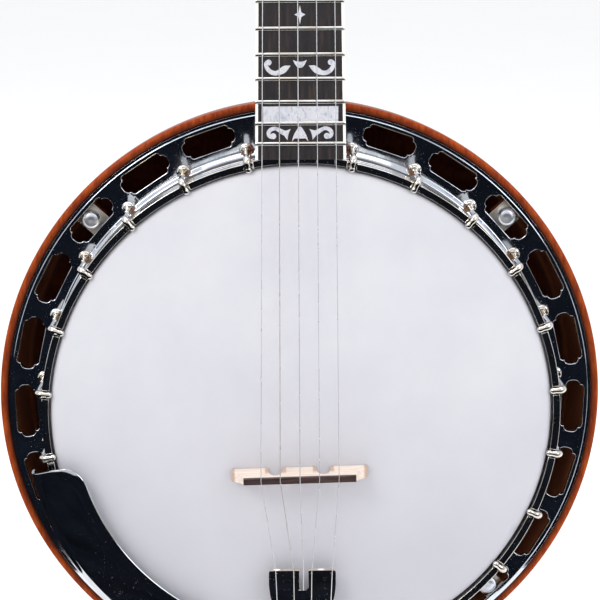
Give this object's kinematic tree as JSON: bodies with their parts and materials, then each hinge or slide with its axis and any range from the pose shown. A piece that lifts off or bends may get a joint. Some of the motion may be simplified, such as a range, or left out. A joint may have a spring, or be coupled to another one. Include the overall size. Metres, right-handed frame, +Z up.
{
  "type": "five-string resonator banjo",
  "caption": "Upright banjo with a drum-like head in a wooden resonator, long fretted neck, geared tuners, floating bridge, armrest and steel strings.",
  "frame": {"origin": "on the pot's centre plane, at the neck side face of the nut, on the fretboard's surface, where a wall hanger's yoke holds the peghead", "axes": "+Z up from the pot towards the peghead, -Y is the way the head faces, +X to the right as one looks at the head. The head lies square to Y, and the neck tilts back 3 degrees."},
  "size_m": [0.3472, 0.1248, 0.9584],
  "materials": {
    "nickel_plate": "polished nickel plating",
    "tone_ring_plate": "turned bell bronze, plated outside",
    "string_steel": "plain and wound music wire",
    "resonator_wood": "red-brown sunburst under gloss lacquer",
    "neck_wood": "stained mahogany under satin lacquer",
    "rim_wood": "laminated maple, stained and lacquered",
    "fretboard_wood": "oiled dark rosewood",
    "bridge_wood": "bare maple with a dark cap",
    "head_film": "frosted white coated film",
    "pearl_button": "pearl-like glossy plastic"
  },
  "bodies": {
    "root": {"resonator": "resonator_wood", "rim": "rim_wood", "tone_ring": "tone_ring_plate", "head": "head_film", "tension_hoop": "nickel_plate", "flange": "nickel_plate", "coordinator_rod": "nickel_plate", "bracket_hook_01": "nickel_plate", "bracket_hook_02": "nickel_plate", "bracket_hook_03": "nickel_plate", "bracket_hook_04": "nickel_plate", "bracket_hook_05": "nickel_plate", "bracket_hook_06": "nickel_plate", "bracket_hook_07": "nickel_plate", "bracket_hook_08": "nickel_plate", "bracket_hook_09": "nickel_plate", "bracket_hook_10": "nickel_plate", "bracket_hook_11": "nickel_plate", "bracket_hook_12": "nickel_plate", "bracket_hook_13": "nickel_plate", "bracket_hook_14": "nickel_plate", "bracket_hook_15": "nickel_plate", "bracket_hook_16": "nickel_plate", "bracket_hook_17": "nickel_plate", "bracket_hook_18": "nickel_plate", "bracket_hook_19": "nickel_plate", "bracket_hook_20": "nickel_plate", "bracket_hook_21": "nickel_plate", "bracket_hook_22": "nickel_plate", "bracket_hook_23": "nickel_plate", "bracket_hook_24": "nickel_plate", "neck": "neck_wood", "fretboard": "fretboard_wood", "bridge": "bridge_wood", "tailpiece": "nickel_plate", "armrest": "nickel_plate", "string_1": "string_steel", "string_2": "string_steel", "string_3": "string_steel", "string_4": "string_steel", "string_5": "string_steel", "tuner_body_1": "nickel_plate", "tuner_body_2": "nickel_plate", "tuner_body_3": "nickel_plate", "tuner_body_4": "nickel_plate", "fifth_tuner_body": "nickel_plate"},
    "tuner_knob_1": {"tuner_knob_1": "pearl_button"},
    "tuner_post_1": {"tuner_post_1": "nickel_plate"},
    "tuner_knob_2": {"tuner_knob_2": "pearl_button"},
    "tuner_post_2": {"tuner_post_2": "nickel_plate"},
    "tuner_knob_3": {"tuner_knob_3": "pearl_button"},
    "tuner_post_3": {"tuner_post_3": "nickel_plate"},
    "tuner_knob_4": {"tuner_knob_4": "pearl_button"},
    "tuner_post_4": {"tuner_post_4": "nickel_plate"},
    "fifth_tuner_knob": {"fifth_tuner_knob": "pearl_button"},
    "fifth_tuner_post": {"fifth_tuner_post": "nickel_plate"},
    "resonator_thumbscrew_1": {"resonator_thumbscrew_1": "nickel_plate"},
    "resonator_thumbscrew_2": {"resonator_thumbscrew_2": "nickel_plate"},
    "resonator_thumbscrew_3": {"resonator_thumbscrew_3": "nickel_plate"},
    "resonator_thumbscrew_4": {"resonator_thumbscrew_4": "nickel_plate"}
  },
  "joints": [
    {"name": "tuner_knob_1_turn", "type": "hinge", "parent": "root", "child": "tuner_knob_1", "pos_m": [0.0248, 0.01289, 0.04631], "axis": [0, 0.9613, -0.2756], "continuous": true},
    {"name": "tuner_post_1_turn", "type": "hinge", "parent": "root", "child": "tuner_post_1", "pos_m": [0.0248, 0.01289, 0.04631], "axis": [0, 0.9613, -0.2756], "continuous": true},
    {"name": "tuner_knob_2_turn", "type": "hinge", "parent": "root", "child": "tuner_knob_2", "pos_m": [0.0283, 0.02832, 0.10014], "axis": [0, 0.9613, -0.2756], "continuous": true},
    {"name": "tuner_post_2_turn", "type": "hinge", "parent": "root", "child": "tuner_post_2", "pos_m": [0.0283, 0.02832, 0.10014], "axis": [0, 0.9613, -0.2756], "continuous": true},
    {"name": "tuner_knob_3_turn", "type": "hinge", "parent": "root", "child": "tuner_knob_3", "pos_m": [-0.0207, 0.02832, 0.10014], "axis": [0, 0.9613, -0.2756], "continuous": true},
    {"name": "tuner_post_3_turn", "type": "hinge", "parent": "root", "child": "tuner_post_3", "pos_m": [-0.0207, 0.02832, 0.10014], "axis": [0, 0.9613, -0.2756], "continuous": true},
    {"name": "tuner_knob_4_turn", "type": "hinge", "parent": "root", "child": "tuner_knob_4", "pos_m": [-0.0172, 0.01289, 0.04631], "axis": [0, 0.9613, -0.2756], "continuous": true},
    {"name": "tuner_post_4_turn", "type": "hinge", "parent": "root", "child": "tuner_post_4", "pos_m": [-0.0172, 0.01289, 0.04631], "axis": [0, 0.9613, -0.2756], "continuous": true},
    {"name": "fifth_tuner_knob_turn", "type": "hinge", "parent": "root", "child": "fifth_tuner_knob", "pos_m": [-0.03, 0.00205, -0.1423], "axis": [-1, 0, 0], "continuous": true},
    {"name": "fifth_tuner_post_turn", "type": "hinge", "parent": "root", "child": "fifth_tuner_post", "pos_m": [-0.03, 0.00205, -0.1423], "axis": [-1, 0, 0], "continuous": true},
    {"name": "thumbscrew_1_turn", "type": "hinge", "parent": "root", "child": "resonator_thumbscrew_1", "pos_m": [0.1184, 0.0122, -0.52663], "axis": [0, 1, 0], "continuous": true},
    {"name": "thumbscrew_2_turn", "type": "hinge", "parent": "root", "child": "resonator_thumbscrew_2", "pos_m": [0.11036, 0.0122, -0.74721], "axis": [0, 1, 0], "continuous": true},
    {"name": "thumbscrew_3_turn", "type": "hinge", "parent": "root", "child": "resonator_thumbscrew_3", "pos_m": [-0.1184, 0.0122, -0.52663], "axis": [0, 1, 0], "continuous": true},
    {"name": "thumbscrew_4_turn", "type": "hinge", "parent": "root", "child": "resonator_thumbscrew_4", "pos_m": [-0.11036, 0.0122, -0.74721], "axis": [0, 1, 0], "continuous": true}
  ],
  "couplings": [
    {"joint": "tuner_post_1_turn", "follows": "tuner_knob_1_turn", "ratio": 0.25},
    {"joint": "tuner_post_2_turn", "follows": "tuner_knob_2_turn", "ratio": 0.25},
    {"joint": "tuner_post_3_turn", "follows": "tuner_knob_3_turn", "ratio": 0.25},
    {"joint": "tuner_post_4_turn", "follows": "tuner_knob_4_turn", "ratio": 0.25},
    {"joint": "fifth_tuner_post_turn", "follows": "fifth_tuner_knob_turn", "ratio": 0.25}
  ]
}
